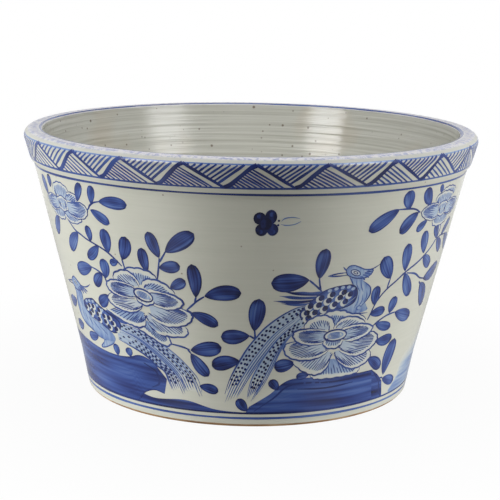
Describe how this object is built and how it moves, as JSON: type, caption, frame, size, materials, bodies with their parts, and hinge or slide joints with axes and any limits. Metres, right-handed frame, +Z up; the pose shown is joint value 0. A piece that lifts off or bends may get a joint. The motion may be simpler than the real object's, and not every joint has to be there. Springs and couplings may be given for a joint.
{
  "type": "basin planter",
  "caption": "Wide flaring glazed stoneware basin planter with a flat thick rim collar, ridged bore, turned foot and lift-out drain plug.",
  "frame": {"origin": "on the floor under the centre of the foot ring", "axes": "+Z up along the turning axis; -Y is the side that the picture shows"},
  "size_m": [0.4816, 0.4816, 0.28],
  "materials": {
    "bare_clay": "fired, unglazed",
    "outer_glaze": "glossy ivory-grey glaze over cobalt brushwork",
    "rim_glaze": "mottled lilac-white gloss",
    "inner_glaze": "grey-green gloss",
    "plug_rubber": "matte black"
  },
  "bodies": {
    "pot": {"foot_ring": "bare_clay", "floor_slab": "bare_clay", "corner_coil": "bare_clay", "lower_wall": "bare_clay", "upper_wall": "bare_clay", "rim_collar": "bare_clay", "outer_glaze": "outer_glaze", "rim_glaze": "rim_glaze", "inner_glaze": "inner_glaze"},
    "plug": {"drain_plug": "plug_rubber"}
  },
  "joints": [
    {"name": "drain_plug_lift", "type": "slide", "parent": "pot", "child": "plug", "axis": [0, 0, 1], "range_m": [0, 0.3]}
  ]
}
